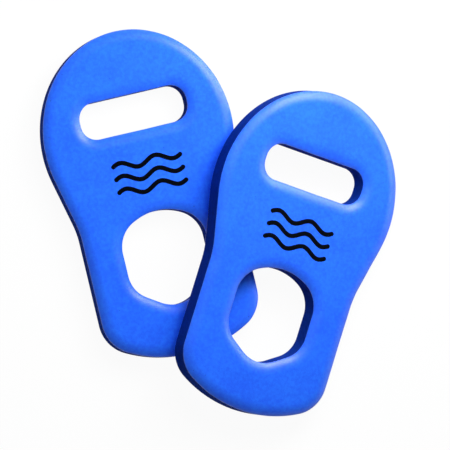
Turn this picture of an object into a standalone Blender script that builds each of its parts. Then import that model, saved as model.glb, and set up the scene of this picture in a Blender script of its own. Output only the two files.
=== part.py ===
"""A pair of foam swim training floats: one lies flat, its twin leans on it.

Each float is one slab of closed-cell foam. A round head carries a slot for the fingers, a
narrower body carries a larger hole for the forearm, and the plain web between them is the grip.
Every edge, outside and in the openings, has the same form: the face rolls down softly, turns a
tight edge and drops as an upright wall.

Units are metres and +Z is up. The origin is on the floor under the middle of the lower float's
grip web, and +Y runs from there to the middle of its head.
"""

import math

import bmesh
import bpy
import numpy as np
from mathutils import Matrix, Vector

# Slab and edge
THICKNESS = 0.030
ROLL_RADIUS = 0.017
ROLL_ANGLE = math.radians(33.0)
EDGE_RADIUS = 0.0012

# Outline, measured from the middle of the grip web
HEAD_HALF_WIDTH = 0.0955
HEAD_RISE = 0.1055
HEAD_WIDEST_Y = 0.036
BODY_HALF_WIDTH = 0.080
WAIST_Y = -0.045
WAIST_RADIUS = 0.088
FOOT_Y = -0.1865
FOOT_RADIUS = 0.128
FOOT_CORNER_RADIUS = 0.036

# Finger slot
SLOT_WIDTH = 0.109
SLOT_HEIGHT = 0.0365
SLOT_CORNER_RADIUS = 0.016
SLOT_Y = 0.059

# Forearm hole: a six-sided figure with every corner rounded
HOLE_HALF_WIDTH = 0.0428
HOLE_TOP_Y = -0.0347
HOLE_SHOULDER_Y = -0.0556
HOLE_HIP_Y = -0.1133
HOLE_BOTTOM_Y = -0.1416
HOLE_TOP_RADIUS = 0.0556
HOLE_SHOULDER_RADIUS = 0.0308
HOLE_HIP_RADIUS = 0.0283
HOLE_BOTTOM_RADIUS = 0.0315

# How the upper float lies: its web's place, its turn, and the bearing that it leans down to
UPPER_X = 0.123
UPPER_Y = -0.0895
UPPER_TURN = math.radians(-31.0)
LEAN_BEARING = math.radians(-30.0)
LEAN_REACH = 0.1226
LEAN = math.asin(THICKNESS / LEAN_REACH)

# Points round each stretch of edge
HEAD_STEPS = 24
WAIST_STEPS = 4
FOOT_CORNER_STEPS = 8
FOOT_STEPS = 6
OPENING_CORNER_STEPS = 8
ROLL_STEPS = 3
EDGE_STEPS = 2

FOAM_BLUE = (0.028, 0.145, 0.800, 1.0)
FOAM_ROUGHNESS = 0.62
SMOOTH_ANGLE = math.radians(40.0)


def arc(center, radius, start, stop, steps):
    """Points on a circle from one angle to another, both ends included."""
    angles = np.linspace(start, stop, steps + 1)
    return np.column_stack((center[0] + radius * np.cos(angles), center[1] + radius * np.sin(angles)))


def fillet(before, corner, after, radius, steps):
    """The arc of a given radius that rounds one corner of a polygon."""
    before, corner, after = (np.array(point, dtype=float) for point in (before, corner, after))
    to_before = (before - corner) / np.linalg.norm(before - corner)
    to_after = (after - corner) / np.linalg.norm(after - corner)
    half_angle = math.acos(to_before @ to_after) / 2.0
    inward = (to_before + to_after) / np.linalg.norm(to_before + to_after)
    center = corner + inward * radius / math.sin(half_angle)
    reach = radius / math.tan(half_angle)
    first = corner + to_before * reach - center
    last = corner + to_after * reach - center
    start = math.atan2(first[1], first[0])
    turn = math.atan2(first[0] * last[1] - first[1] * last[0], first @ last)
    return arc(center, radius, start, start + turn, steps)


def rounded_polygon(corners, radii, steps):
    """A closed outline: a polygon with each corner rounded by its own radius."""
    count = len(corners)
    arcs = [
        fillet(corners[i - 1], corners[i], corners[(i + 1) % count], radii[i], steps)
        for i in range(count)
    ]
    return np.vstack(arcs)


def body_outline():
    """The float's outer edge, anticlockwise from the top of the head.

    Each half is an arc of the head's ellipse, the straight tangent from it to the waist, the
    waist's hollow, an upright side, a foot corner and half of the foot's broad arc.
    """
    waist = np.array((BODY_HALF_WIDTH, WAIST_Y))
    scaled = np.array((waist[0] / HEAD_HALF_WIDTH, (waist[1] - HEAD_WIDEST_Y) / HEAD_RISE))
    tangent = math.atan2(scaled[1], scaled[0]) + math.acos(1.0 / np.linalg.norm(scaled))
    turns = np.linspace(math.pi / 2.0, tangent, HEAD_STEPS + 1)
    head = np.column_stack(
        (HEAD_HALF_WIDTH * np.cos(turns), HEAD_WIDEST_Y + HEAD_RISE * np.sin(turns))
    )
    hollow = fillet(head[-1], waist, (BODY_HALF_WIDTH, FOOT_Y), WAIST_RADIUS, WAIST_STEPS)

    foot_center_y = FOOT_Y + FOOT_RADIUS
    corner_x = BODY_HALF_WIDTH - FOOT_CORNER_RADIUS
    corner_y = foot_center_y - math.sqrt((FOOT_RADIUS - FOOT_CORNER_RADIUS) ** 2 - corner_x**2)
    foot_start = math.atan2(corner_y - foot_center_y, corner_x)
    corner = arc((corner_x, corner_y), FOOT_CORNER_RADIUS, 0.0, foot_start, FOOT_CORNER_STEPS)
    foot = arc((0.0, foot_center_y), FOOT_RADIUS, foot_start, -math.pi / 2.0, FOOT_STEPS)

    right = np.vstack((head, hollow, corner, foot[1:]))
    left = right[:-1] * (-1.0, 1.0)
    return np.vstack((left, right[:0:-1]))


def slot_outline():
    """The finger slot: a long rounded rectangle across the head."""
    half_width = SLOT_WIDTH / 2.0
    top = SLOT_Y + SLOT_HEIGHT / 2.0
    bottom = SLOT_Y - SLOT_HEIGHT / 2.0
    corners = [(half_width, top), (-half_width, top), (-half_width, bottom), (half_width, bottom)]
    return rounded_polygon(corners, [SLOT_CORNER_RADIUS] * 4, OPENING_CORNER_STEPS)


def hole_outline():
    """The forearm hole: arched above, upright at the sides, drawn to a blunt point below."""
    corners = [
        (0.0, HOLE_TOP_Y),
        (-HOLE_HALF_WIDTH, HOLE_SHOULDER_Y),
        (-HOLE_HALF_WIDTH, HOLE_HIP_Y),
        (0.0, HOLE_BOTTOM_Y),
        (HOLE_HALF_WIDTH, HOLE_HIP_Y),
        (HOLE_HALF_WIDTH, HOLE_SHOULDER_Y),
    ]
    radii = [
        HOLE_TOP_RADIUS,
        HOLE_SHOULDER_RADIUS,
        HOLE_HIP_RADIUS,
        HOLE_BOTTOM_RADIUS,
        HOLE_HIP_RADIUS,
        HOLE_SHOULDER_RADIUS,
    ]
    return rounded_polygon(corners, radii, OPENING_CORNER_STEPS)


def edge_profile():
    """The edge's section from the top flat to the bottom flat, as (inset, height) pairs.

    A wide arc leaves the face level and rolls down to ROLL_ANGLE. A tight arc, tangent to it,
    turns on to the upright wall, where the inset is zero. The lower half mirrors the upper.
    """
    between = ROLL_RADIUS - EDGE_RADIUS
    lip_width = between * math.sin(ROLL_ANGLE) + EDGE_RADIUS
    roll_center = (lip_width, THICKNESS - ROLL_RADIUS)
    edge_center = (EDGE_RADIUS, roll_center[1] + between * math.cos(ROLL_ANGLE))
    roll = arc(roll_center, ROLL_RADIUS, math.pi / 2.0, math.pi / 2.0 + ROLL_ANGLE, ROLL_STEPS)
    edge = arc(edge_center, EDGE_RADIUS, math.pi / 2.0 + ROLL_ANGLE, math.pi, EDGE_STEPS)
    upper = np.vstack((roll, edge[1:]))
    lower = upper[::-1] * (1.0, -1.0) + (0.0, THICKNESS)
    return np.vstack((upper, lower))


def outward_normals(outline):
    """Unit normals of an anticlockwise outline, square to the mean of the two edges at a point."""
    edges = np.roll(outline, -1, axis=0) - outline
    edges /= np.linalg.norm(edges, axis=1)[:, None]
    tangents = edges + np.roll(edges, 1, axis=0)
    tangents /= np.linalg.norm(tangents, axis=1)[:, None]
    return np.column_stack((tangents[:, 1], -tangents[:, 0]))


def add_edge(bm, outline, into_foam, profile):
    """Carry the edge profile round one outline.

    Args:
        bm: The mesh that is built.
        outline: The wall's outline in plan.
        into_foam: Unit vectors in plan that point from the wall into the foam.
        profile: The (inset, height) pairs of the section.

    Returns:
        The edges that bound the top flat, and those that bound the bottom flat.
    """
    rings = []
    for inset, height in profile:
        plan = outline + into_foam * inset
        rings.append([bm.verts.new((x, y, height)) for x, y in plan])
    count = len(outline)
    for upper, lower in zip(rings, rings[1:]):
        for i in range(count):
            j = (i + 1) % count
            bm.faces.new((upper[i], upper[j], lower[j], lower[i]))
    top = [bm.edges.get((rings[0][i - 1], rings[0][i])) for i in range(count)]
    bottom = [bm.edges.get((rings[-1][i - 1], rings[-1][i])) for i in range(count)]
    return top, bottom


def float_mesh():
    """The closed mesh of one float, lying on its back face with the grip web at the origin."""
    profile = edge_profile()
    body, slot, hole = body_outline(), slot_outline(), hole_outline()
    bm = bmesh.new()
    loops = [
        add_edge(bm, body, -outward_normals(body), profile),
        add_edge(bm, slot, outward_normals(slot), profile),
        add_edge(bm, hole, outward_normals(hole), profile),
    ]
    for face in range(2):
        boundary = [edge for loop in loops for edge in loop[face]]
        bmesh.ops.triangle_fill(bm, edges=boundary, use_beauty=True, use_dissolve=False)
    bmesh.ops.recalc_face_normals(bm, faces=bm.faces[:])
    mesh = bpy.data.meshes.new("float")
    bm.to_mesh(mesh)
    bm.free()
    mesh.shade_smooth()
    mesh.set_sharp_from_angle(angle=SMOOTH_ANGLE)
    return mesh


def foam_material(name):
    """Matt blue closed-cell foam."""
    material = bpy.data.materials.new(name)
    material.use_nodes = True
    shader = material.node_tree.nodes["Principled BSDF"]
    shader.inputs["Base Color"].default_value = FOAM_BLUE
    shader.inputs["Roughness"].default_value = FOAM_ROUGHNESS
    shader.inputs["Metallic"].default_value = 0.0
    material.diffuse_color = FOAM_BLUE
    return material


def add_float(name, mesh):
    """One float as a named object with its own mesh and material."""
    item = bpy.data.objects.new(name, mesh)
    item.data.name = name
    item.data.materials.append(foam_material(name + "_foam"))
    bpy.context.collection.objects.link(item)
    return item


def leaning_pose(mesh):
    """The upper float's placement: turned, leant over its bearing, and lowered to the floor."""
    axis = Vector((-math.sin(LEAN_BEARING), math.cos(LEAN_BEARING), 0.0))
    rotation = Matrix.Rotation(LEAN, 3, axis) @ Matrix.Rotation(UPPER_TURN, 3, "Z")
    lowest = min((rotation @ vertex.co).z for vertex in mesh.vertices)
    place = Vector((UPPER_X, UPPER_Y, -lowest))
    return Matrix.Translation(place) @ rotation.to_4x4()


def main():
    """Clear the scene and lay down the pair."""
    for item in list(bpy.data.objects):
        bpy.data.objects.remove(item, do_unlink=True)
    add_float("lower_float", float_mesh())
    upper = add_float("upper_float", float_mesh())
    upper.matrix_world = leaning_pose(upper.data)


main()
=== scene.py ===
"""Looks for a pair of foam swim training floats: one lies flat and its twin leans on it.

Each float is a thick slab of closed-cell foam with a finger slot, a forearm hole and rolled
edges, and carries a small plain print of wave lines on the web between the two openings.
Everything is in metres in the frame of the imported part: the origin is on the floor under the
middle of the lower float's grip web, +Y runs to its head and +Z is up.
"""

from __future__ import annotations

import logging
import math
from collections.abc import Callable
from dataclasses import dataclass
from enum import Enum
from functools import partial
from typing import Any

import bpy
import numpy as np
from mathutils import Matrix, Vector
from mathutils.geometry import delaunay_2d_cdt

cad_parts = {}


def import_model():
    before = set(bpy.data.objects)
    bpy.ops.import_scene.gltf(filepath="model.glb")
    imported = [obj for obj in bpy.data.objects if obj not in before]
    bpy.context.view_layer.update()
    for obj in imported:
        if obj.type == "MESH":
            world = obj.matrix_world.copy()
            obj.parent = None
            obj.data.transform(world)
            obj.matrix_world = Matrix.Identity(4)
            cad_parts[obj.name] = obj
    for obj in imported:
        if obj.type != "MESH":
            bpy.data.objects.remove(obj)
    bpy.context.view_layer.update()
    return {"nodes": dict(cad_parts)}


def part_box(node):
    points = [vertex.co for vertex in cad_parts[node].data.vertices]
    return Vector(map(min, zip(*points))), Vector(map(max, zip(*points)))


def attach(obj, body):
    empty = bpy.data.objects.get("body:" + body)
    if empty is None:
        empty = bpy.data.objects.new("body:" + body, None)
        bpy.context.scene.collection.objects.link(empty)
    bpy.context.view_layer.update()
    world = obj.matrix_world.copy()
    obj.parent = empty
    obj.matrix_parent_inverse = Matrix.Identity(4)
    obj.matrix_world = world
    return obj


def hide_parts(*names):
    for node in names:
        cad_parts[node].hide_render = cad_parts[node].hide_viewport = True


LOG = logging.getLogger("swim_floats")
MM = 0.001
QUARTER_TURN = math.pi / 2.0
FULL_TURN = 2.0 * math.pi
# The vertex attribute that tells the skin how far down the rolled lip it is.
LIP_ATTRIBUTE = "lip"
# A Mix node's colour sockets, by number, because its other kinds share their names.
MIX_SHARE, MIX_FROM, MIX_TO, MIX_RESULT = 0, 6, 7, 2
# The node-adding function, with its tree already given.
NodeAdder = Callable[..., bpy.types.Node]


class FoamZone(Enum):
    """The two surfaces that a float shows, in the order of its material slots."""

    SKIN = 0
    CUT_WALL = 1


def linear(hex_code: str) -> tuple[float, float, float, float]:
    """Turn an sRGB colour into linear light by the standard's own curve.

    Args:
        hex_code: The colour as "#RRGGBB".

    Returns:
        Linear red, green and blue, and an alpha of one.
    """
    srgb = np.array([int(hex_code[i : i + 2], 16) for i in (1, 3, 5)]) / 255.0
    low, high = srgb / 12.92, ((srgb + 0.055) / 1.055) ** 2.4
    red, green, blue = np.where(srgb <= 0.04045, low, high).tolist()
    return red, green, blue, 1.0


def per_metre(size_mm: float) -> float:
    """The texture scale at which one repeat of a pattern is this many millimetres."""
    return 1.0 / (size_mm * MM)


def add_node(
    tree: bpy.types.NodeTree,
    kind: str,
    inputs: dict[str | int, Any] | None = None,
    **settings: Any,
) -> bpy.types.Node:
    """Add one node with its settings, its constant values and its links.

    Args:
        tree: The node tree that takes the node.
        kind: The node's type name.
        inputs: For each input, a constant or the output socket that feeds it.
        **settings: Properties of the node itself.

    Returns:
        The new node.
    """
    node = tree.nodes.new(kind)
    for name, value in settings.items():
        setattr(node, name, value)
    for socket, value in (inputs or {}).items():
        if isinstance(value, bpy.types.NodeSocket):
            tree.links.new(value, node.inputs[socket])
        else:
            node.inputs[socket].default_value = value
    return node


def node_adder(owner: bpy.types.Material | bpy.types.World) -> NodeAdder:
    """Switch nodes on for a material or the world, and clear them.

    Args:
        owner: The material or the world.

    Returns:
        The function that adds nodes to its tree.
    """
    owner.use_nodes = True
    owner.node_tree.nodes.clear()
    return partial(add_node, owner.node_tree)


@dataclass(frozen=True, kw_only=True)
class Finish:
    """What every finish of the floats has."""

    name: str
    # The least roughness, and how much more there is where the pattern is highest
    roughness: float
    roughness_spread: float
    specular: float
    # The relief's depth, and how much of it shows
    relief_mm: float
    relief_strength: float

    def dress(
        self,
        add: NodeAdder,
        colour: bpy.types.NodeSocket,
        pattern: bpy.types.NodeSocket,
        height: bpy.types.NodeSocket,
        coat: dict[str, Any],
    ) -> None:
        """Join a material's patterns to its shader.

        Args:
            add: Adds nodes to the material.
            colour: The colour.
            pattern: What the roughness follows, from zero to one.
            height: The relief's form.
            coat: The coat's inputs, if it has one.
        """
        roughness = add(
            "ShaderNodeMath",
            {0: pattern, 1: self.roughness_spread, 2: self.roughness},
            operation="MULTIPLY_ADD",
        ).outputs[0]
        depth = self.relief_mm * MM
        relief = add(
            "ShaderNodeBump",
            {"Height": height, "Strength": self.relief_strength, "Distance": depth},
        ).outputs[0]
        inputs = {
            "Base Color": colour,
            "Roughness": roughness,
            "Normal": relief,
            "IOR": 1.5,
            "Specular IOR Level": self.specular,
        }
        shader = add("ShaderNodeBsdfPrincipled", inputs | coat).outputs[0]
        add("ShaderNodeOutputMaterial", {"Surface": shader})


@dataclass(frozen=True, kw_only=True)
class FoamFinish(Finish):
    """Closed-cell EVA foam, split from a block, hot-rolled at the edges and die-cut at the walls.

    The eye gets a matt, saturated colour that is never quite even: clumps of cells a few
    millimetres wide read lighter or darker, wide soft clouds lie under them, a few open pin
    pores show as dark specks, and the cell ends give a fine orange-peel relief. A rolled lip
    has been pressed hot, which leaves a thin smooth coat on it that catches the light. A cut
    wall shows opened cells, so it is rougher, coarser and has next to no gloss. Its colours
    are set darker than the skin's, partly for the open cells and partly as painted shade for
    walls that face away from the lamps.
    """

    roughness_spread: float = 0.12
    relief_mm: float = 0.12
    # The palest clumps, the darkest ones and the inside of an open pore
    light: str
    deep: str
    pore: str
    # The roughness of a rolled lip's coat, if the surface has one
    lip_roughness: float | None = None
    # Clumps, clouds and their weight, and the sums at which the colour is all deep or all light
    clump_mm: float = 3.2
    cloud_mm: float = 34.0
    cloud_share: float = 0.45
    shade_range: tuple[float, float] = (0.55, 0.9)
    # Open pores, where their edge starts and ends in radii, and the share of places that has one
    pore_spacing_mm: float = 9.0
    pore_radius_mm: float = 0.55
    pore_fade: tuple[float, float] = (0.4, 1.3)
    pore_share: float = 0.3
    # Real cells are about 0.25 mm wide. They are drawn as wide as they need to show.
    cell_mm: float = 1.3
    # The clumps' weight in the relief, beside the cells
    clump_relief: float = 1.5

    def pores(self, add: NodeAdder, where: bpy.types.NodeSocket) -> bpy.types.NodeSocket:
        """Mask the open pores.

        A pore is the core of a cell in a sparse cell pattern, kept only where the cell's random
        value is under the pores' share.

        Args:
            add: Adds nodes to the material.
            where: The object coordinates.

        Returns:
            One inside a pore and zero elsewhere.
        """
        scale = per_metre(self.pore_spacing_mm)
        places = add(
            "ShaderNodeTexVoronoi", {"Vector": where, "Scale": scale, "Randomness": 1.0}
        ).outputs
        inner, outer = (
            edge * self.pore_radius_mm / self.pore_spacing_mm for edge in self.pore_fade
        )
        core = add(
            "ShaderNodeMapRange",
            {
                "Value": places["Distance"],
                "From Min": inner,
                "From Max": outer,
                "To Min": 1.0,
                "To Max": 0.0,
            },
            interpolation_type="SMOOTHSTEP",
        ).outputs[0]
        chance = add("ShaderNodeSeparateColor", {"Color": places["Color"]}).outputs[0]
        kept = add(
            "ShaderNodeMath", {0: chance, 1: self.pore_share}, operation="LESS_THAN"
        ).outputs[0]
        return add("ShaderNodeMath", {0: core, 1: kept}, operation="MULTIPLY").outputs[0]

    def material(self) -> bpy.types.Material:
        """Build the foam.

        Colour: deep blends to light by clump noise and, less, by cloud noise, and to the pore's
        colour in the pores. Relief: the distance from each cell's middle plus some of the clump
        noise, less the pores. Coat: as much as the surface is down a rolled lip.

        Returns:
            The material.
        """
        material = bpy.data.materials.new(self.name)
        add = node_adder(material)
        where = add("ShaderNodeTexCoord").outputs["Object"]
        clump = add(
            "ShaderNodeTexNoise",
            {"Vector": where, "Scale": per_metre(self.clump_mm), "Detail": 3.0, "Roughness": 0.6},
        ).outputs["Fac"]
        cloud = add(
            "ShaderNodeTexNoise",
            {"Vector": where, "Scale": per_metre(self.cloud_mm), "Detail": 2.0},
        ).outputs["Fac"]
        mixed = add(
            "ShaderNodeMath", {0: cloud, 1: self.cloud_share, 2: clump}, operation="MULTIPLY_ADD"
        ).outputs[0]
        shade = add(
            "ShaderNodeMapRange",
            {"Value": mixed, "From Min": self.shade_range[0], "From Max": self.shade_range[1]},
        ).outputs[0]
        even = add(
            "ShaderNodeMix",
            {MIX_SHARE: shade, MIX_FROM: linear(self.deep), MIX_TO: linear(self.light)},
            data_type="RGBA",
        ).outputs[MIX_RESULT]
        pores = self.pores(add, where)
        colour = add(
            "ShaderNodeMix",
            {MIX_SHARE: pores, MIX_FROM: even, MIX_TO: linear(self.pore)},
            data_type="RGBA",
        ).outputs[MIX_RESULT]
        cells = add(
            "ShaderNodeTexVoronoi",
            {"Vector": where, "Scale": per_metre(self.cell_mm), "Randomness": 0.9},
        ).outputs["Distance"]
        height = add(
            "ShaderNodeMath", {0: clump, 1: self.clump_relief, 2: cells}, operation="MULTIPLY_ADD"
        ).outputs[0]
        pitted = add("ShaderNodeMath", {0: height, 1: pores}, operation="SUBTRACT").outputs[0]
        coat: dict[str, Any] = {}
        if self.lip_roughness is not None:
            lip = add("ShaderNodeAttribute", attribute_name=LIP_ATTRIBUTE).outputs["Fac"]
            coat = {"Coat Weight": lip, "Coat Roughness": self.lip_roughness, "Coat IOR": 1.6}
        self.dress(add, colour, clump, pitted, coat)
        material.diffuse_color = linear(self.light)
        return material


@dataclass(frozen=True, kw_only=True)
class InkFinish(Finish):
    """Screen-printed black ink on foam.

    The eye gets a dense black with a soft satin gloss. The film sinks a little over the foam's
    cells, so the black is faintly uneven and its surface keeps some of the foam's relief.
    """

    name: str = "screen_print_ink_black"
    roughness: float = 0.5
    roughness_spread: float = 0.2
    specular: float = 0.02
    relief_mm: float = 0.06
    relief_strength: float = 0.4
    # The full film, the thinnest one, and how wide the unevenness is
    dense: str = "#020203"
    thin: str = "#070A12"
    grain_mm: float = 1.6

    def material(self) -> bpy.types.Material:
        """Build the ink: dense blends to thin by fine noise, which also gives the relief.

        Returns:
            The material.
        """
        material = bpy.data.materials.new(self.name)
        add = node_adder(material)
        where = add("ShaderNodeTexCoord").outputs["Object"]
        grain = add(
            "ShaderNodeTexNoise",
            {"Vector": where, "Scale": per_metre(self.grain_mm), "Detail": 2.0},
        ).outputs["Fac"]
        colour = add(
            "ShaderNodeMix",
            {MIX_SHARE: grain, MIX_FROM: linear(self.dense), MIX_TO: linear(self.thin)},
            data_type="RGBA",
        ).outputs[MIX_RESULT]
        self.dress(add, colour, grain, grain, coat={})
        material.diffuse_color = linear(self.dense)
        return material


@dataclass(frozen=True)
class Ripple:
    """The faint unevenness of a soft slab: a seeded sum of plane sine waves through space."""

    # How far the surface sinks at most, then the range of wavelengths
    deepest: float = 0.36 * MM
    shortest: float = 11.0 * MM
    longest: float = 46.0 * MM
    waves: int = 18
    seed: int = 7

    def depth(self, points: np.ndarray) -> np.ndarray:
        """How far the surface lies under its true form.

        The waves have random directions, lengths and phases. Their sum, scaled so that three
        standard deviations reach one, is clipped to plus or minus one and moved to run from
        zero to the deepest value, so the form is never left outwards.

        Args:
            points: Places in the float's own frame, one per row.

        Returns:
            One depth per point.
        """
        draw = np.random.default_rng(self.seed)
        heading = draw.normal(size=(self.waves, 3))
        heading /= np.linalg.norm(heading, axis=1, keepdims=True)
        length = draw.uniform(self.shortest, self.longest, self.waves)
        phase = draw.uniform(0.0, FULL_TURN, self.waves)
        swing = np.sin(FULL_TURN * points @ (heading / length[:, None]).T + phase).sum(axis=1)
        deviation = math.sqrt(self.waves / 2.0)
        level = np.clip(swing / (3.0 * deviation), -1.0, 1.0)
        return self.deepest * 0.5 * (1.0 + level)


@dataclass(frozen=True)
class Outline:
    """A closed line in plan that runs with the foam on its left.

    Attributes:
        points: Evenly spaced points, one per row.
        into_foam: Unit vectors from the wall into the foam.
    """

    points: np.ndarray
    into_foam: np.ndarray

    @classmethod
    def even(cls, dense: np.ndarray, pitch: float) -> Outline:
        """Space a dense closed polyline evenly.

        Args:
            dense: Closely spaced points of the line.
            pitch: The distance wanted between points.

        Returns:
            The line, with normals square to the chord over each point.
        """
        closed = np.vstack((dense, dense[:1]))
        steps = np.linalg.norm(np.diff(closed, axis=0), axis=1)
        travel = np.concatenate(([0.0], np.cumsum(steps)))
        stations = np.linspace(0.0, travel[-1], round(travel[-1] / pitch), endpoint=False)
        points = np.column_stack([np.interp(stations, travel, axis) for axis in closed.T])
        along = np.roll(points, -1, axis=0) - np.roll(points, 1, axis=0)
        along /= np.linalg.norm(along, axis=1, keepdims=True)
        return cls(points, np.column_stack((-along[:, 1], along[:, 0])))

    def depth_inside(self, plan: np.ndarray) -> np.ndarray:
        """How far points lie inside the foam, along the normal of the line's nearest point.

        Args:
            plan: Places in plan, one per row.

        Returns:
            One depth per place, negative outside the foam.
        """
        apart = ((plan[:, None, :] - self.points[None, :, :]) ** 2).sum(axis=2)
        nearest = apart.argmin(axis=1)
        return ((plan - self.points[nearest]) * self.into_foam[nearest]).sum(axis=1)


def arc(
    center: np.ndarray | tuple[float, float],
    radii: float | tuple[float, float],
    start: float,
    stop: float,
    steps: int = 240,
) -> np.ndarray:
    """Points on a circle or an upright ellipse: centre plus (rx cos t, ry sin t).

    Args:
        center: The middle of the figure.
        radii: Its radius, or its half width and half height.
        start: The first angle t.
        stop: The last angle t.
        steps: How many steps lie between.

    Returns:
        One point per row, both ends included.
    """
    turn = np.linspace(start, stop, steps + 1)
    return np.array(center) + np.column_stack((np.cos(turn), np.sin(turn))) * radii


def fillet(before: np.ndarray, corner: np.ndarray, after: np.ndarray, radius: float) -> np.ndarray:
    """Round one corner of a polygon by an arc that touches both of its sides.

    The centre is on the corner's bisector, radius / sin(half angle) away, and the arc starts
    and stops radius / tan(half angle) along the sides.

    Args:
        before: The corner before.
        corner: The corner that is rounded.
        after: The corner after.
        radius: The arc's radius.

    Returns:
        The arc's points.
    """
    back = (before - corner) / np.linalg.norm(before - corner)
    ahead = (after - corner) / np.linalg.norm(after - corner)
    half_angle = math.acos(back @ ahead) / 2.0
    bisector = (back + ahead) / np.linalg.norm(back + ahead)
    center = corner + bisector * radius / math.sin(half_angle)
    first = corner + back * radius / math.tan(half_angle) - center
    last = corner + ahead * radius / math.tan(half_angle) - center
    start = math.atan2(first[1], first[0])
    turn = math.atan2(first[0] * last[1] - first[1] * last[0], first @ last)
    return arc(center, radius, start, start + turn)


def rounded_polygon(corners: list[tuple[float, float]], radii: list[float]) -> np.ndarray:
    """A closed figure with each corner rounded by its own radius.

    Args:
        corners: The polygon's corners in order.
        radii: One radius per corner.

    Returns:
        The points of all the arcs, joined by straight sides.
    """
    ring = np.array(corners)
    before, after = np.roll(ring, 1, axis=0), np.roll(ring, -1, axis=0)
    return np.vstack([fillet(*side) for side in zip(before, ring, after, radii)])


def at_level(plan: np.ndarray, level: float | np.ndarray) -> np.ndarray:
    """Points over places in plan, all at one level or each at its own."""
    return np.column_stack((plan, np.broadcast_to(level, len(plan))))


def row_levels(plan: np.ndarray, levels: np.ndarray) -> np.ndarray:
    """Points over a grid of places in plan (rows, columns, two), with one level per row."""
    return at_level(plan.reshape(-1, 2), np.repeat(levels, plan.shape[1]))


def ring_quads(grid: np.ndarray) -> np.ndarray:
    """Faces between the rows of a grid of vertex numbers, where every row is a closed ring."""
    turned = np.roll(grid, -1, axis=1)
    return np.stack((grid[:-1], grid[1:], turned[1:], turned[:-1]), axis=2).reshape(-1, 4)


@dataclass(frozen=True)
class Section:
    """The edge's section, from the top flat over the wall to the bottom flat.

    Attributes:
        inset: How far each station lies inside the wall.
        height: Its height over the back face.
        tilt: The angle from straight up to the surface's normal there.
        roll_angle: The angle at which the rolled lip ends.
    """

    inset: np.ndarray
    height: np.ndarray
    tilt: np.ndarray
    roll_angle: float

    def fold(self) -> np.ndarray:
        """The angle from the nearer flat to the surface, at each station."""
        return np.minimum(self.tilt, math.pi - self.tilt)

    def lip(self) -> np.ndarray:
        """How far down the rolled lip each station is: zero on a flat, one from its end on."""
        return np.clip(self.fold() / self.roll_angle, 0.0, 1.0)

    def zones(self) -> np.ndarray:
        """The FoamZone value of each strip between two stations.

        A strip is cut wall if it is upright, give or take a fiftieth, and skin otherwise.

        Returns:
            One value per strip.
        """
        fold = self.fold()
        upright = (fold[:-1] + fold[1:]) / 2.0 > 0.98 * QUARTER_TURN
        return np.where(upright, FoamZone.CUT_WALL.value, FoamZone.SKIN.value)


@dataclass
class Surface:
    """A closed mesh as plain arrays.

    Attributes:
        points: Vertex places, one per row.
        quads: Four-sided faces.
        triangles: Three-sided faces.
        lip: For each vertex, zero on the flats to one at the end of the rolled lip.
        zones: For each face, quads first, its FoamZone value.
    """

    points: np.ndarray
    quads: np.ndarray
    triangles: np.ndarray
    lip: np.ndarray | None = None
    zones: np.ndarray | None = None

    def to_object(self, name: str, materials: list[bpy.types.Material]) -> bpy.types.Object:
        """Put the arrays into a smooth mesh with its place in its vertices.

        Args:
            name: The piece's name.
            materials: Its materials, in slot order.

        Returns:
            The linked object, at the origin and unturned.
        """
        mesh = bpy.data.meshes.new(name)
        faces = self.quads.tolist() + self.triangles.tolist()
        mesh.from_pydata(self.points.tolist(), [], faces)
        for material in materials:
            mesh.materials.append(material)
        if self.zones is not None:
            mesh.polygons.foreach_set("material_index", self.zones.astype(np.int32))
        if self.lip is not None:
            lip = mesh.attributes.new(LIP_ATTRIBUTE, "FLOAT", "POINT")
            lip.data.foreach_set("value", self.lip.astype(np.float32))
        mesh.shade_smooth()
        mesh.update()
        item = bpy.data.objects.new(name, mesh)
        bpy.context.scene.collection.objects.link(item)
        return item


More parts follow.
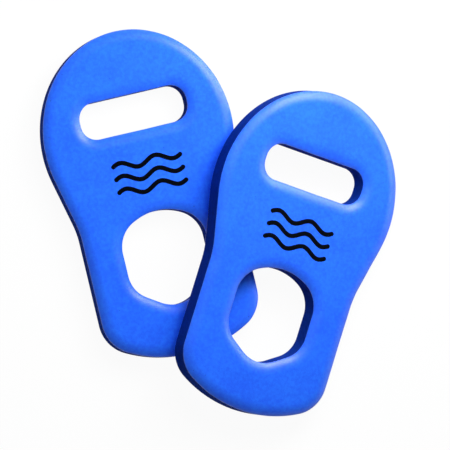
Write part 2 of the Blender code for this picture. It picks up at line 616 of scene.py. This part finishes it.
@dataclass(frozen=True)
class FloatForm:
    """One float's shape, lying on its back face with the grip web's middle at the origin."""

    # Slab
    thickness: float
    head_top_y: float
    foot_y: float
    # Outer edge
    head_half_width: float = 95.5 * MM
    head_widest_y: float = 36.0 * MM
    body_half_width: float = 80.0 * MM
    waist_y: float = -45.0 * MM
    waist_radius: float = 88.0 * MM
    foot_radius: float = 128.0 * MM
    foot_corner_radius: float = 36.0 * MM
    # Finger slot
    slot_half_width: float = 54.5 * MM
    slot_half_height: float = 18.25 * MM
    slot_corner_radius: float = 16.0 * MM
    slot_y: float = 59.0 * MM
    # Forearm hole, from the corners of its six-sided figure
    hole_half_width: float = 42.8 * MM
    hole_top_y: float = -34.7 * MM
    hole_shoulder_y: float = -55.6 * MM
    hole_hip_y: float = -113.3 * MM
    hole_bottom_y: float = -141.6 * MM
    hole_top_radius: float = 55.6 * MM
    hole_shoulder_radius: float = 30.8 * MM
    hole_hip_radius: float = 28.3 * MM
    hole_bottom_radius: float = 31.5 * MM
    # Section of every edge: the rolled lip and the tight turn on to the wall
    roll_radius: float = 20.0 * MM
    roll_angle: float = math.radians(36.0)
    edge_radius: float = 1.2 * MM
    # Mesh: spacing along the outlines and over the flats, the flats' gap to a lip as a share
    # of their spacing, the stations of the section, and how near two points count as one
    outline_pitch: float = 2.0 * MM
    face_pitch: float = 3.2 * MM
    face_gap: float = 0.6
    roll_stations: int = 9
    edge_stations: int = 6
    wall_stations: int = 11
    weld: float = 1e-7
    ripple: Ripple = Ripple()

    @classmethod
    def from_frame(cls, node: str) -> FloatForm:
        """Take the slab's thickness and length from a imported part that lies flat."""
        low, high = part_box(node)
        return cls(thickness=high.z - low.z, head_top_y=high.y, foot_y=low.y)

    def body_outline(self) -> Outline:
        """The outer edge.

        Each half is an arc of the head's ellipse, the straight tangent from it to the waist, a
        hollow fillet there, an upright side, a foot corner arc and half of the foot's broad arc,
        which touches the corner arc. The other half mirrors it.

        Returns:
            The outline, anticlockwise.
        """
        ellipse = (self.head_half_width, self.head_top_y - self.head_widest_y)
        waist = np.array((self.body_half_width, self.waist_y))
        scaled = (waist - (0.0, self.head_widest_y)) / ellipse
        touch = math.atan2(scaled[1], scaled[0]) + math.acos(1.0 / np.linalg.norm(scaled))
        head = arc((0.0, self.head_widest_y), ellipse, touch, QUARTER_TURN)[::-1]
        below = np.array((self.body_half_width, self.foot_y))
        hollow = fillet(head[-1], waist, below, self.waist_radius)

        center_y = self.foot_y + self.foot_radius
        corner_x = self.body_half_width - self.foot_corner_radius
        reach = self.foot_radius - self.foot_corner_radius
        corner_y = center_y - math.sqrt(reach**2 - corner_x**2)
        meet = math.atan2(corner_y - center_y, corner_x)
        corner = arc((corner_x, corner_y), self.foot_corner_radius, 0.0, meet)
        foot = arc((0.0, center_y), self.foot_radius, meet, -QUARTER_TURN)
        right = np.vstack((head, hollow, corner, foot[1:]))
        left = right[:-1] * (-1.0, 1.0)
        return Outline.even(np.vstack((left, right[:0:-1])), self.outline_pitch)

    def slot_outline(self) -> Outline:
        """The finger slot: a long rectangle across the head, with rounded corners.

        Returns:
            The outline, clockwise.
        """
        across, up = self.slot_half_width, self.slot_half_height
        corners = [(across, up), (across, -up), (-across, -up), (-across, up)]
        ring = rounded_polygon(corners, [self.slot_corner_radius] * len(corners))
        return Outline.even(ring + (0.0, self.slot_y), self.outline_pitch)

    def hole_outline(self) -> Outline:
        """The forearm hole: a six-sided figure with rounded corners.

        Returns:
            The outline, clockwise.
        """
        corners = [
            (0.0, self.hole_top_y),
            (self.hole_half_width, self.hole_shoulder_y),
            (self.hole_half_width, self.hole_hip_y),
            (0.0, self.hole_bottom_y),
            (-self.hole_half_width, self.hole_hip_y),
            (-self.hole_half_width, self.hole_shoulder_y),
        ]
        side = [self.hole_shoulder_radius, self.hole_hip_radius]
        radii = [self.hole_top_radius, *side, self.hole_bottom_radius, *side[::-1]]
        return Outline.even(rounded_polygon(corners, radii), self.outline_pitch)

    def section(self) -> Section:
        """The section of every edge.

        A wide arc leaves the flat level and rolls down to the roll angle; a tight arc, tangent
        to it, turns on to the upright wall. The lower half mirrors the upper.

        Returns:
            The section's stations from the top flat to the bottom flat.
        """
        between = self.roll_radius - self.edge_radius
        lip_width = between * math.sin(self.roll_angle) + self.edge_radius
        roll_base = self.thickness - self.roll_radius
        edge_base = roll_base + between * math.cos(self.roll_angle)
        roll = np.linspace(0.0, self.roll_angle, self.roll_stations)
        edge = np.linspace(self.roll_angle, QUARTER_TURN, self.edge_stations)[1:]
        roll_inset = lip_width - self.roll_radius * np.sin(roll)
        roll_height = roll_base + self.roll_radius * np.cos(roll)
        edge_inset = self.edge_radius * (1.0 - np.sin(edge))
        edge_height = edge_base + self.edge_radius * np.cos(edge)
        inset = np.concatenate((roll_inset, edge_inset))
        height = np.concatenate((roll_height, edge_height))
        tilt = np.concatenate((roll, edge))
        wall = np.linspace(height[-1], self.thickness - height[-1], self.wall_stations)[1:-1]
        return Section(
            np.concatenate((inset, np.zeros_like(wall), inset[::-1])),
            np.concatenate((height, wall, self.thickness - height[::-1])),
            np.concatenate((tilt, np.full_like(wall, QUARTER_TURN), math.pi - tilt[::-1])),
            self.roll_angle,
        )

    def sunk(self, points: np.ndarray, normals: np.ndarray) -> np.ndarray:
        """Sink a surface by the ripple, fully on top and not at all on the back face.

        The share between rises with the height h, in thicknesses, as 3 h^2 - 2 h^3.

        Args:
            points: The surface's points, one per row.
            normals: Its unit normals there.

        Returns:
            The points, moved against their normals.
        """
        share = np.clip(points[:, 2] / self.thickness, 0.0, 1.0)
        fade = share * share * (3.0 - 2.0 * share)
        return points - normals * (fade * self.ripple.depth(points))[:, None]

    def face_heights(self, plan: np.ndarray) -> np.ndarray:
        """The height of the top face over each point in plan."""
        return self.thickness - self.ripple.depth(at_level(plan, self.thickness))

    def face_lattice(self, rings: Outline) -> np.ndarray:
        """Points that fill the flats: a triangular lattice, kept clear of the rolled lips.

        Args:
            rings: The lines where the flats end.

        Returns:
            The lattice's points in plan, each farther inside the rings than the gap.
        """
        low, high = rings.points.min(axis=0), rings.points.max(axis=0)
        columns = np.arange(low[0], high[0], self.face_pitch)
        rows = np.arange(low[1], high[1], self.face_pitch * math.sqrt(0.75))
        x, y = np.meshgrid(columns, rows)
        x[1::2] += self.face_pitch / 2.0
        lattice = np.column_stack((x.ravel(), y.ravel()))
        return lattice[rings.depth_inside(lattice) > self.face_gap * self.face_pitch]

    def face_triangles(self, rings: Outline, counts: list[int], lattice: np.ndarray) -> np.ndarray:
        """Triangles that join the lattice to the rings, anticlockwise from above.

        A triangle that spans an opening touches no lattice point and has its middle outside the
        foam, and is left out.

        Args:
            rings: The lines where the flats end, one after another.
            counts: How many points each line has.
            lattice: The points between them.

        Returns:
            Corners as row numbers of the rings' points followed by the lattice's.
        """
        plan = np.vstack((rings.points, lattice))
        start = np.cumsum([0, *counts])
        edges = np.vstack(
            [
                np.column_stack((np.arange(a, b), np.roll(np.arange(a, b), -1)))
                for a, b in zip(start, start[1:])
            ]
        )
        corners = [Vector(point) for point in plan.tolist()]
        # Output type 1 keeps what lies within the edges, and item 2 of the result is the faces.
        filled = np.array(delaunay_2d_cdt(corners, edges.tolist(), [], 1, self.weld)[2])
        middle = rings.depth_inside(plan[filled].mean(axis=1))
        return filled[(filled.max(axis=1) >= len(rings.points)) | (middle > 0.0)]

    def slab(self) -> Surface:
        """The whole float as one closed surface.

        The section is carried round the three outlines: a rim vertex is the outline's point
        moved into the foam by the station's inset, at the station's height. The two flats
        between the rims are one triangulation of the lattice, used face up and face down.

        Returns:
            The surface in the float's own frame.
        """
        outlines = [self.body_outline(), self.slot_outline(), self.hole_outline()]
        counts = [len(outline.points) for outline in outlines]
        section = self.section()
        aside, upward = -np.sin(section.tilt), np.cos(section.tilt)
        rims, normals, grids = [], [], []
        first = 0
        for outline in outlines:
            plan = outline.points + section.inset[:, None, None] * outline.into_foam
            rims.append(row_levels(plan, section.height))
            normals.append(row_levels(aside[:, None, None] * outline.into_foam, upward))
            grids.append(first + np.arange(len(rims[-1])).reshape(plan.shape[:2]))
            first += len(rims[-1])

        rim = np.vstack(rims)
        top_ids = np.concatenate([grid[0] for grid in grids])
        bottom_ids = np.concatenate([grid[-1] for grid in grids])
        rings = Outline(rim[top_ids, :2], np.vstack([line.into_foam for line in outlines]))
        lattice = self.face_lattice(rings)
        flat = self.face_triangles(rings, counts, lattice)
        lattice_ids = first + np.arange(len(lattice))
        top = np.concatenate((top_ids, lattice_ids))[flat]
        bottom = np.concatenate((bottom_ids, lattice_ids + len(lattice)))[flat]
        triangles = np.vstack((top, bottom[:, ::-1]))
        up = at_level(np.zeros_like(lattice), 1.0)
        points = np.vstack((rim, at_level(lattice, self.thickness), at_level(lattice, 0.0)))

        lip, zone = section.lip(), section.zones()
        flat_lip = np.zeros(2 * len(lattice))
        flat_zone = np.full(len(triangles), FoamZone.SKIN.value)
        return Surface(
            points=self.sunk(points, np.vstack((*normals, up, -up))),
            quads=np.vstack([ring_quads(grid) for grid in grids]),
            triangles=triangles,
            lip=np.concatenate([*(np.repeat(lip, count) for count in counts), flat_lip]),
            zones=np.concatenate([*(np.repeat(zone, count) for count in counts), flat_zone]),
        )


@dataclass(frozen=True)
class WavePrint:
    """A plain print on the grip web: level wave lines with round ends, one under another."""

    # The print's middle, from the web's own
    x: float = 1.0 * MM
    y: float = -3.5 * MM
    # The lines
    length: float = 72.0 * MM
    swing: float = 3.6 * MM
    wavelength: float = 36.0 * MM
    half_width: float = 2.3 * MM
    spacing: float = 13.0 * MM
    lines: int = 3
    # The ink: how high it stands, how far it goes into the foam, and the power that fills out
    # its oval section
    film: float = 0.14 * MM
    sunk: float = 0.5 * MM
    fullness: float = 0.6
    # Points along a line and round it
    stations: int = 141
    ring: int = 20

    def surface(self, form: FloatForm) -> Surface:
        """The lines as closed thin films.

        Along a line, y = swing * sin(2 pi x / wavelength). Across it, a flattened oval of half
        width w is carried, with w falling to zero as sqrt(1 - (1 - d / w)^2) within w of an
        end, where d is the distance from that end. The upper half of the oval stands the film's
        height over the foam's face and the lower half is sunk in the foam.

        Args:
            form: The float that carries the print.

        Returns:
            The surface of all the lines, in the float's own frame.
        """
        sweep = np.linspace(0.0, math.pi, self.stations)
        x = -0.5 * self.length * np.cos(sweep)
        pace = FULL_TURN / self.wavelength
        y = self.swing * np.sin(pace * x)
        slope = self.swing * pace * np.cos(pace * x)
        steep = np.sqrt(1.0 + slope**2)
        from_end = (0.5 * self.length - np.abs(x)) * steep
        narrow = np.clip(1.0 - from_end / self.half_width, 0.0, 1.0)
        width = np.sqrt(1.0 - narrow**2)[1:-1, None]
        turn = np.linspace(0.0, FULL_TURN, self.ring, endpoint=False)
        across = self.half_width * width * np.cos(turn)
        oval = np.sign(np.sin(turn)) * np.abs(np.sin(turn)) ** self.fullness
        rise = oval * np.sqrt(width)
        lift = np.where(rise > 0.0, self.film * rise, self.sunk * rise)
        plan = np.stack(
            (
                x[1:-1, None] - across * (slope / steep)[1:-1, None],
                y[1:-1, None] + across / steep[1:-1, None],
            ),
            axis=2,
        ).reshape(-1, 2)
        ends = np.column_stack((x[[0, -1]], y[[0, -1]]))
        line_plan = np.vstack((plan, ends))
        line_lift = np.concatenate((lift.ravel(), np.zeros(2)))

        pole = len(plan)
        grid = np.arange(pole).reshape(-1, self.ring)
        quads = ring_quads(grid)
        turned = np.roll(grid, -1, axis=1)
        start = np.column_stack((grid[0], turned[0], np.full(self.ring, pole)))
        stop = np.column_stack((turned[-1], grid[-1], np.full(self.ring, pole + 1)))
        triangles = np.vstack((start, stop))

        offsets = self.y + self.spacing * (np.arange(self.lines) - 0.5 * (self.lines - 1))
        place = np.column_stack((np.full(self.lines, self.x), offsets))
        all_plan = (line_plan[None] + place[:, None]).reshape(-1, 2)
        height = form.face_heights(all_plan) + np.tile(line_lift, self.lines)
        step = len(line_plan) * np.arange(self.lines)[:, None, None]
        return Surface(
            points=at_level(all_plan, height),
            quads=(quads[None] + step).reshape(-1, 4),
            triangles=(triangles[None] + step).reshape(-1, 3),
        )


@dataclass(frozen=True)
class Lean:
    """How a float lies: its web's place, its turn, and the lean of its slab.

    The slab turns about the upright, then tips down towards the bearing by the angle whose sine
    is the step under it over the reach, and is lowered until it touches the floor.
    """

    x: float = 0.0
    y: float = 0.0
    turn: float = 0.0
    bearing: float = 0.0
    step: float = 0.0
    reach: float = 1.0

    def turning(self) -> np.ndarray:
        """The turn and then the tip.

        Returns:
            The rotation as a three by three matrix.
        """
        axis = Vector((-math.sin(self.bearing), math.cos(self.bearing), 0.0))
        tip = Matrix.Rotation(math.asin(self.step / self.reach), 3, axis)
        return np.array(tip @ Matrix.Rotation(self.turn, 3, "Z"))

    def place(self, points: np.ndarray, floor_from: np.ndarray) -> np.ndarray:
        """Move points to where the float lies.

        Args:
            points: Places in the float's own frame.
            floor_from: The slab's own points, whose lowest one touches the floor.

        Returns:
            The same points in the shared frame.
        """
        turning = self.turning()
        lowest = (floor_from @ turning.T)[:, 2].min()
        return points @ turning.T + (self.x, self.y, -lowest)


@dataclass
class SwimFloat:
    """One float: its foam slab and the print on its web.

    Attributes:
        body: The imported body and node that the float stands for.
        form: Its shape.
        lean: How it lies.
        print_lines: The print on its web.
    """

    body: str
    form: FloatForm
    lean: Lean
    print_lines: WavePrint

    def build(
        self, foam: list[bpy.types.Material], ink: bpy.types.Material
    ) -> list[bpy.types.Object]:
        """Build, place and dress the float's pieces.

        Args:
            foam: The foam materials, in the order of FoamZone.
            ink: The print's material.

        Returns:
            The foam slab and the print.
        """
        slab = self.form.slab()
        lines = self.print_lines.surface(self.form)
        own = slab.points
        slab.points = self.lean.place(own, own)
        lines.points = self.lean.place(lines.points, own)
        foam_piece = slab.to_object(f"{self.body}_foam_slab", foam)
        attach(foam_piece, self.body)
        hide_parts(self.body)
        print_piece = lines.to_object(f"{self.body}_wave_print", [ink])
        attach(print_piece, self.body)
        return [foam_piece, print_piece]


@dataclass(frozen=True)
class Viewpoint:
    """The camera, high over the pair and a little to the left.

    Attributes:
        upright_right: How far to the right an upright unit leans in the picture.
        upright_up: How far up it leans.
        roll: The turn of the floor's +X in the picture.
        origin_right: Where the origin lies, to the right of the picture's middle.
        origin_up: Where it lies, over the middle.
        distance: From the camera to the plane through the origin, along the view.
        frame: The width that the picture covers at that distance.
        farthest: How far the camera sees, past the backdrop.
        sensor_mm: The sensor's width.
    """

    upright_right: float = 0.17
    upright_up: float = 0.04
    roll: float = math.radians(13.4)
    origin_right: float = -81.2 * MM
    origin_up: float = 53.0 * MM
    distance: float = 6.0
    frame: float = 0.4471
    farthest: float = 200.0
    sensor_mm: float = 36.0

    def axes(self) -> np.ndarray:
        """Work out how the camera is turned.

        The columns are the frame's +X, +Y and +Z as the camera sees them: +Z has the given
        lean, +X the given roll, made square to +Z, and +Y completes the three.

        Returns:
            The camera's right, up and back directions in the shared frame, one per row.
        """
        lean = (self.upright_right, self.upright_up)
        upright = np.array((*lean, math.sqrt(1.0 - lean[0] ** 2 - lean[1] ** 2)))
        across = np.array((math.cos(self.roll), math.sin(self.roll), 0.0))
        across -= upright * (across @ upright)
        across /= np.linalg.norm(across)
        return np.column_stack((across, np.cross(upright, across), upright))

    def floor_heading(self, picture_angle: float) -> np.ndarray:
        """Find the level direction that points a given way in the picture.

        Args:
            picture_angle: The way, anticlockwise from right.

        Returns:
            A unit vector in the shared frame.
        """
        heading = self.axes().T @ (math.cos(picture_angle), math.sin(picture_angle), 0.0)
        heading[2] = 0.0
        return heading / np.linalg.norm(heading)

    def add(self) -> None:
        """Create the camera and make it the scene's own."""
        data = bpy.data.cameras.new("camera")
        data.sensor_width = self.sensor_mm
        data.lens = self.sensor_mm * self.distance / self.frame
        data.clip_end = self.farthest
        camera = bpy.data.objects.new("camera", data)
        axes = self.axes()
        matrix = np.eye(4)
        matrix[:3, :3] = axes.T
        matrix[:3, 3] = axes.T @ (-self.origin_right, -self.origin_up, self.distance)
        camera.matrix_world = Matrix(matrix.tolist())
        bpy.context.scene.collection.objects.link(camera)
        bpy.context.scene.camera = camera


@dataclass(frozen=True)
class Lamp:
    """A soft, white, oval studio lamp."""

    name: str
    # Where it hangs from the point that it looks at: its bearing, anticlockwise from right in the
    # picture, its angle over the floor and its distance
    picture_angle: float
    elevation: float
    distance: float
    # Its face and its power
    width: float
    height: float
    watts: float
    # Whether gloss shows it, and whether it lights matt surfaces
    mirrored: bool = True
    shades: bool = True

    def add(self, viewpoint: Viewpoint, target: np.ndarray) -> None:
        """Hang the lamp.

        Args:
            viewpoint: The camera that the lamp's bearing is given for.
            target: The point that it looks at.
        """
        level = viewpoint.floor_heading(self.picture_angle)
        toward = level * math.cos(self.elevation) + (0.0, 0.0, math.sin(self.elevation))
        data = bpy.data.lights.new(self.name, "AREA")
        data.shape = "ELLIPSE"
        data.size = self.width
        data.size_y = self.height
        data.energy = self.watts
        lamp = bpy.data.objects.new(self.name, data)
        lamp.visible_glossy = self.mirrored
        lamp.visible_diffuse = self.shades
        lamp.location = target + toward * self.distance
        lamp.rotation_euler = Vector(toward).to_track_quat("Z", "Y").to_euler()
        bpy.context.scene.collection.objects.link(lamp)


LAMPS = (
    Lamp(
        name="key_lamp",
        picture_angle=math.radians(36.0),
        elevation=math.radians(36.0),
        distance=0.80,
        width=0.38,
        height=0.38,
        watts=4.0,
    ),
    Lamp(
        name="side_strip",
        picture_angle=math.radians(18.0),
        elevation=math.radians(13.0),
        distance=0.88,
        width=0.95,
        height=0.20,
        watts=3.4,
        shades=False,
    ),
    Lamp(
        name="top_panel",
        picture_angle=math.radians(50.0),
        elevation=math.radians(58.0),
        distance=0.80,
        width=0.60,
        height=0.60,
        watts=6.0,
        mirrored=False,
    ),
)


@dataclass(frozen=True)
class Studio:
    """A pale floor, soft lamps and a weak even fill."""

    # What the lamps look at: left of the pair's middle, because the upper float leans towards
    # them and would outshine the lower one
    target: tuple[float, float, float] = (-0.100, 0.020, 0.030)
    lamps: tuple[Lamp, ...] = LAMPS
    # The round sweep: the flat floor's rings and reach, the bend up from it, the backdrop's
    # height, the number of sides, and how far the floor lies under the part
    floor_rings: tuple[float, ...] = (1.0, 5.0)
    floor_radius: float = 24.0
    bend_radius: float = 4.0
    bend_stations: int = 9
    backdrop_height: float = 11.0
    sweep_sides: int = 96
    floor_drop: float = 0.2 * MM
    # The floor as it is seen, and as it throws light back on the pair
    paper: str = "#F6F6F6"
    bounce: str = "#C8C8CA"
    # The share of the floor that shows as plain white, so that it reads pale even where the
    # lamps' light falls off. The rest is lit and keeps the shadow.
    glow: float = 0.95
    # The even fill
    fill: float = 0.15
    fill_colour: str = "#F2F6FF"

    def seen(self, add: NodeAdder) -> bpy.types.NodeSocket:
        """Tell the rays that show the background to the eye from those that only light the pair.

        Args:
            add: Adds nodes to the paper.

        Returns:
            One for direct and mirrored rays and those through glass, zero for the rest.
        """
        path = add("ShaderNodeLightPath").outputs
        seen = path["Is Camera Ray"]
        for kind in ("Is Glossy Ray", "Is Transmission Ray"):
            both = {0: seen, 1: path[kind]}
            seen = add("ShaderNodeMath", both, operation="ADD", use_clamp=True).outputs[0]
        return seen

    def paper_material(self) -> bpy.types.Material:
        """Build pale seamless paper: mostly plain white to the eye, grey to bounced light.

        Returns:
            The material.
        """
        material = bpy.data.materials.new("seamless_paper")
        add = node_adder(material)
        lit = add("ShaderNodeBsdfDiffuse", {"Color": linear(self.paper)}).outputs[0]
        white = add("ShaderNodeEmission", {"Strength": 1.0}).outputs[0]
        shown = add("ShaderNodeMixShader", {0: self.glow, 1: lit, 2: white}).outputs[0]
        grey = add("ShaderNodeBsdfDiffuse", {"Color": linear(self.bounce)}).outputs[0]
        both = add("ShaderNodeMixShader", {0: self.seen(add), 1: grey, 2: shown}).outputs[0]
        add("ShaderNodeOutputMaterial", {"Surface": both})
        return material

    def add_sweep(self) -> None:
        """Lay the floor just under the part, swept up far away into a low round backdrop.

        The sweep is a profile of (radius, height) pairs turned about the target: flat from the
        middle to the floor's radius, a quarter circle of the bend's radius, then upright.
        """
        bend = np.linspace(0.0, QUARTER_TURN, self.bend_stations)
        bend_out = self.floor_radius + self.bend_radius * np.sin(bend)
        bend_up = self.bend_radius * (1.0 - np.cos(bend))
        radius = np.concatenate((self.floor_rings, bend_out, bend_out[-1:]))
        height = np.concatenate((np.zeros(len(self.floor_rings)), bend_up, [self.backdrop_height]))
        turn = np.linspace(0.0, FULL_TURN, self.sweep_sides, endpoint=False)
        around = np.column_stack((np.cos(turn), np.sin(turn)))
        plan = radius[:, None, None] * around + np.array(self.target[:2])
        points = row_levels(plan, height - self.floor_drop)
        grid = np.arange(len(points)).reshape(plan.shape[:2])
        mesh = bpy.data.meshes.new("floor")
        mesh.from_pydata(points.tolist(), [], [grid[0].tolist(), *ring_quads(grid).tolist()])
        mesh.materials.append(self.paper_material())
        mesh.shade_smooth()
        floor = bpy.data.objects.new("floor", mesh)
        bpy.context.scene.collection.objects.link(floor)

    def add_world(self) -> None:
        """Surround the scene with a weak even fill."""
        world = bpy.data.worlds.new("studio")
        add = node_adder(world)
        fill = add(
            "ShaderNodeBackground", {"Color": linear(self.fill_colour), "Strength": self.fill}
        ).outputs[0]
        add("ShaderNodeOutputWorld", {"Surface": fill})
        bpy.context.scene.world = world

    def build(self, viewpoint: Viewpoint) -> None:
        """Set up the floor, the surround and the lamps.

        Args:
            viewpoint: The camera that the lamps' bearings are given for.
        """
        self.add_sweep()
        self.add_world()
        for lamp in self.lamps:
            lamp.add(viewpoint, np.array(self.target))
        bpy.context.scene.view_settings.view_transform = "Standard"


FOAM = {
    FoamZone.SKIN: FoamFinish(
        name="eva_foam_rolled_skin",
        light="#2871FF",
        deep="#2360F7",
        pore="#1848B8",
        roughness=0.44,
        specular=0.10,
        relief_strength=0.35,
        lip_roughness=0.36,
    ),
    # The cut wall's colours are darker than the skin's, partly for its open cells and partly as
    # painted shade, because the walls face away from the lamps.
    FoamZone.CUT_WALL: FoamFinish(
        name="eva_foam_cut_wall_painted_shade",
        light="#0B38A4",
        deep="#072E88",
        pore="#062260",
        roughness=0.84,
        specular=0.05,
        relief_strength=0.6,
        cell_mm=1.8,
    ),
}


def main() -> None:
    """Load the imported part, build both floats and the studio, and report each piece."""
    logging.basicConfig(level=logging.INFO, format="%(name)s: %(message)s")
    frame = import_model()

    viewpoint = Viewpoint()
    viewpoint.add()
    Studio().build(viewpoint)

    form = FloatForm.from_frame("lower_float")
    flat = Lean()
    leaning = Lean(
        x=123.0 * MM,
        y=-89.5 * MM,
        turn=math.radians(-31.0),
        bearing=math.radians(-30.0),
        step=form.thickness,
        reach=122.6 * MM,
    )
    foam = [FOAM[zone].material() for zone in FoamZone]
    ink = InkFinish().material()
    for body, lean in (("lower_float", flat), ("upper_float", leaning)):
        for piece in SwimFloat(body, form, lean, WavePrint()).build(foam, ink):
            LOG.info("%s: %d faces", piece.name, len(piece.data.polygons))


if __name__ == "__main__":
    main()
